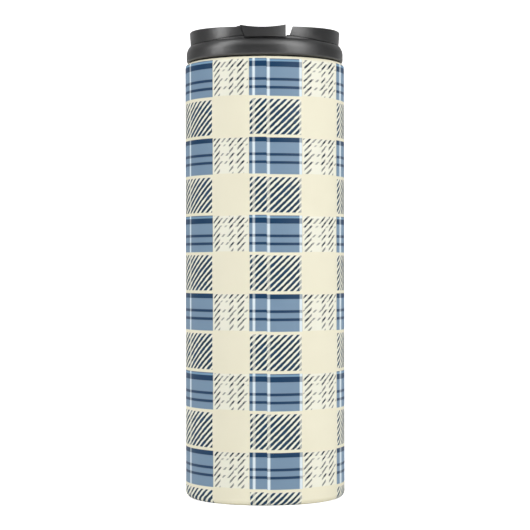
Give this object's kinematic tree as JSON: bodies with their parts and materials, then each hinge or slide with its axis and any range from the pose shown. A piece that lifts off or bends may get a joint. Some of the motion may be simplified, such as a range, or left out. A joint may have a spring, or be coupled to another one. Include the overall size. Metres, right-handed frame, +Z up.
{
  "type": "vacuum flask",
  "caption": "Straight insulated vacuum tumbler with a printed plaid wall, a screw-in lid, a hinged lever cover and a drinking slot in the rim.",
  "frame": {"origin": "centre of the foot, on the surface that the flask stands on", "axes": "+Z up along the flask's axis, -Y towards the drinking slot, +X to the right as the slot is faced"},
  "size_m": [0.0726, 0.0726, 0.2118],
  "materials": {
    "printed_steel": "semi-gloss printed coating with a blue and cream plaid",
    "bare_steel": "satin stainless",
    "seal_glass": "dark sealing glass",
    "getter_metal": "sintered",
    "copper_foil": "bright foil",
    "black_plastic": "fine-textured satin black",
    "core_foam": "white foam",
    "grey_silicone": "matte silicone"
  },
  "bodies": {
    "flask": {"outer_shell": "printed_steel", "inner_liner": "bare_steel", "liner_bottom": "bare_steel", "outer_bottom": "bare_steel", "base_cover": "bare_steel", "evacuation_seal": "seal_glass", "getter_clip": "bare_steel", "getter_pellet": "getter_metal", "radiation_foil": "copper_foil"},
    "gasket": {"main_gasket": "grey_silicone"},
    "lid": {"lid_collar": "black_plastic", "lid_top": "black_plastic", "lid_plug": "black_plastic", "lid_underplate": "black_plastic", "lid_insulation": "core_foam", "drink_tube_seal": "grey_silicone", "vent_tube_seal": "grey_silicone", "hinge_pin": "bare_steel"},
    "cover": {"flip_cover": "black_plastic", "sip_seal": "grey_silicone", "vent_seal": "grey_silicone"}
  },
  "joints": [
    {"name": "lid_lift", "type": "slide", "parent": "flask", "child": "gasket", "axis": [0, 0, 1], "range_m": [0, 0.018]},
    {"name": "lid_turn", "type": "hinge", "parent": "gasket", "child": "lid", "pos_m": [0, 0, 0.2], "axis": [0, 0, 1], "range_deg": [0, 1080]},
    {"name": "cover_flip", "type": "hinge", "parent": "lid", "child": "cover", "pos_m": [0, 0.004, 0.2083], "axis": [-1, 0, 0], "range_deg": [0, 95]}
  ],
  "couplings": [
    {"joint": "lid_lift", "follows": "lid_turn", "m_per_rad": 0.00095493}
  ]
}
